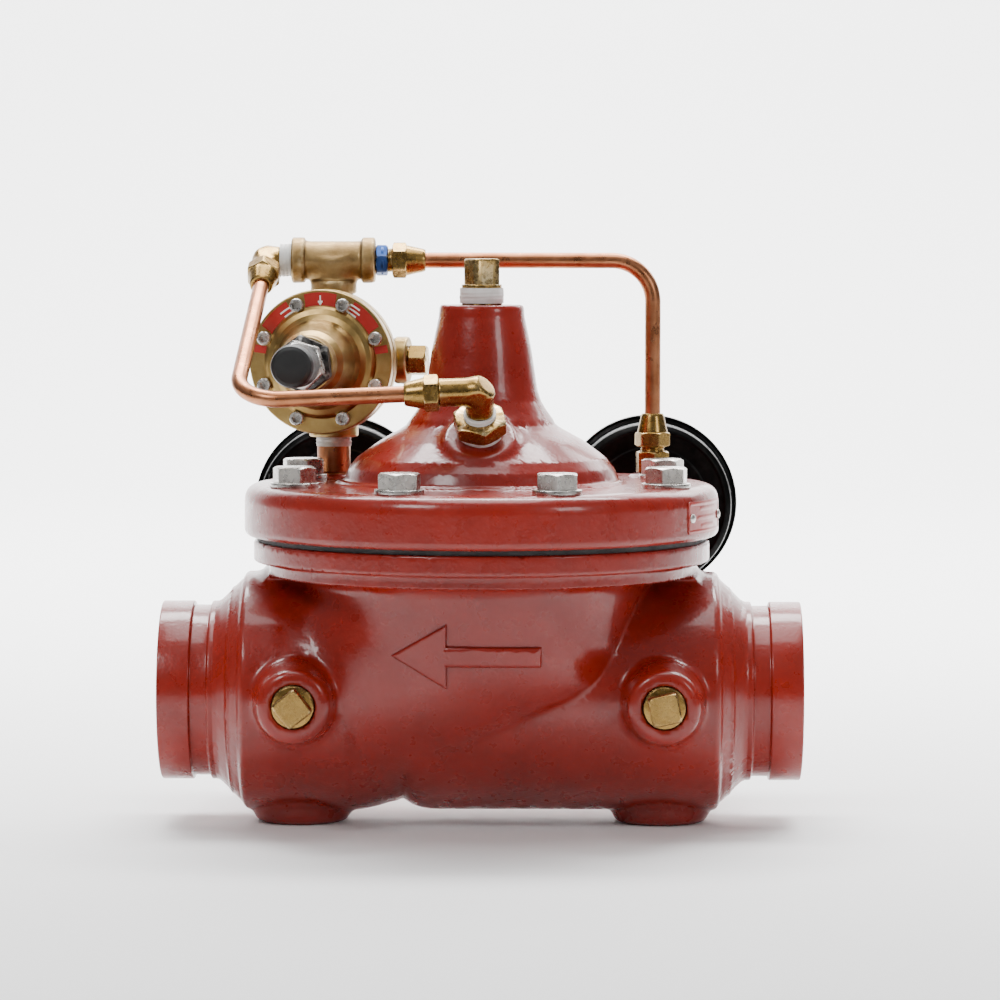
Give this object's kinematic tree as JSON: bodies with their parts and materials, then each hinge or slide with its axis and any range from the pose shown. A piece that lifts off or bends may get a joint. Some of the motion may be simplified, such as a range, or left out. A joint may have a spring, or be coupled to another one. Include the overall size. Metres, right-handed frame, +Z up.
{
  "type": "pressure reducing valve",
  "caption": "Pilot-operated diaphragm pressure reducing valve: red cast globe body with grooved pipe ends, bolted domed cover, brass pilot, copper tubing and rear pressure gauges.",
  "frame": {"origin": "centre of the inlet end face", "axes": "+X along the pipe, out of the inlet; +Z up along the stem, towards the cover; +Y to the rear, where the gauge dials face"},
  "size_m": [0.3175, 0.2663, 0.2908],
  "materials": {
    "red_paint": "gloss",
    "stainless": "machined",
    "fastener_steel": "satin",
    "spring_steel": "satin",
    "rubber": "matte",
    "bearing_bronze": "machined",
    "cast_iron_trim": "matte",
    "brass": "satin",
    "satin_brass": "satin",
    "cast_bronze": "cast",
    "copper": "satin",
    "blue_fitting": "anodised",
    "thread_tape": "matte",
    "red_label": "gloss",
    "red_plate": "gloss",
    "black_plastic": "semi-gloss",
    "black_steel": "semi-gloss",
    "clear_lens": "clear",
    "dial_white": "matte",
    "pointer_black": "matte"
  },
  "bodies": {
    "root": {"valve_body": "red_paint", "seat_ring": "stainless", "seat_o_ring": "rubber", "lower_bearing": "bearing_bronze", "diaphragm": "rubber", "main_spring": "spring_steel", "cover_bearing": "bearing_bronze", "cover": "red_paint", "cover_bolts": "fastener_steel", "cover_washers": "fastener_steel", "side_plugs": "brass", "top_plug": "brass", "thread_tape": "thread_tape", "nameplate": "red_plate", "nameplate_rivets": "fastener_steel", "pilot_body": "satin_brass", "pilot_seat": "stainless", "pilot_diaphragm": "rubber", "pilot_spring": "spring_steel", "pilot_bonnet": "satin_brass", "pilot_screws": "fastener_steel", "pilot_label": "red_label", "pilot_side_plug": "brass", "pilot_outlet_nipple": "copper", "tee_nipple": "cast_bronze", "tee": "cast_bronze", "tee_elbow": "brass", "restriction_fitting": "blue_fitting", "supply_tube": "copper", "supply_adapter": "brass", "control_tube": "copper", "cover_bushing": "brass", "cover_elbow": "brass", "flare_nuts": "brass", "gauge_bushings": "brass", "gauge_nipples": "brass", "gauge_elbows": "cast_bronze", "gauge_sockets": "satin_brass", "gauge_bezels": "black_steel", "gauge_lenses": "clear_lens", "inlet_gauge_case": "black_steel", "inlet_gauge_dial": "dial_white", "outlet_gauge_case": "black_steel", "outlet_gauge_dial": "dial_white"},
    "main_trim": {"stem": "stainless", "disc_guide": "bearing_bronze", "seat_disc": "rubber", "disc_retainer": "cast_iron_trim", "diaphragm_washer": "stainless", "stem_nut": "stainless"},
    "pilot_button": {"pilot_spring_button": "stainless"},
    "pilot_screw": {"pilot_adjusting_screw": "stainless", "pilot_screw_cap": "black_plastic"},
    "pilot_lock_nut": {"pilot_jam_nut": "black_steel"},
    "pilot_valve": {"pilot_poppet": "stainless", "pilot_diaphragm_plate": "stainless"},
    "inlet_pointer": {"inlet_gauge_pointer": "pointer_black"},
    "outlet_pointer": {"outlet_gauge_pointer": "pointer_black"}
  },
  "joints": [
    {"name": "main_stem_slide", "type": "slide", "parent": "root", "child": "main_trim", "axis": [0, 0, 1], "range_m": [0, 0.02], "stiffness_N_per_m": 1500, "springref_m": -0.02, "deforming": ["main_spring", "diaphragm"]},
    {"name": "pilot_button_slide", "type": "slide", "parent": "root", "child": "pilot_button", "axis": [-0.1392, -0.9903, 0], "range_m": [-0.0015, 0.003], "deforming": ["pilot_spring"]},
    {"name": "pilot_screw_turn", "type": "hinge", "parent": "pilot_button", "child": "pilot_screw", "pos_m": [-0.24638, -0.02122, 0.163], "axis": [-0.1392, -0.9903, 0], "range_deg": [-360, 720]},
    {"name": "pilot_lock_nut_turn", "type": "hinge", "parent": "root", "child": "pilot_lock_nut", "pos_m": [-0.24605, -0.01885, 0.163], "axis": [-0.1392, -0.9903, 0], "range_deg": [0, 60]},
    {"name": "pilot_valve_slide", "type": "slide", "parent": "root", "child": "pilot_valve", "axis": [-0.1392, -0.9903, 0], "range_m": [0, 0.0012], "stiffness_N_per_m": 2000, "springref_m": -0.002, "deforming": ["pilot_diaphragm"]},
    {"name": "inlet_gauge_needle", "type": "hinge", "parent": "root", "child": "inlet_pointer", "pos_m": [-0.07251, 0.117, 0.08494], "axis": [0, -1, 0], "range_deg": [0, 270], "stiffness_Nm_per_rad": 0.001, "springref_deg": -28.65},
    {"name": "outlet_gauge_needle", "type": "hinge", "parent": "root", "child": "outlet_pointer", "pos_m": [-0.23495, 0.117, 0.08395], "axis": [0, -1, 0], "range_deg": [0, 270], "stiffness_Nm_per_rad": 0.001, "springref_deg": -28.65}
  ],
  "couplings": [
    {"joint": "pilot_screw_turn", "follows": "pilot_button_slide", "rad_per_m": 4188.8}
  ]
}
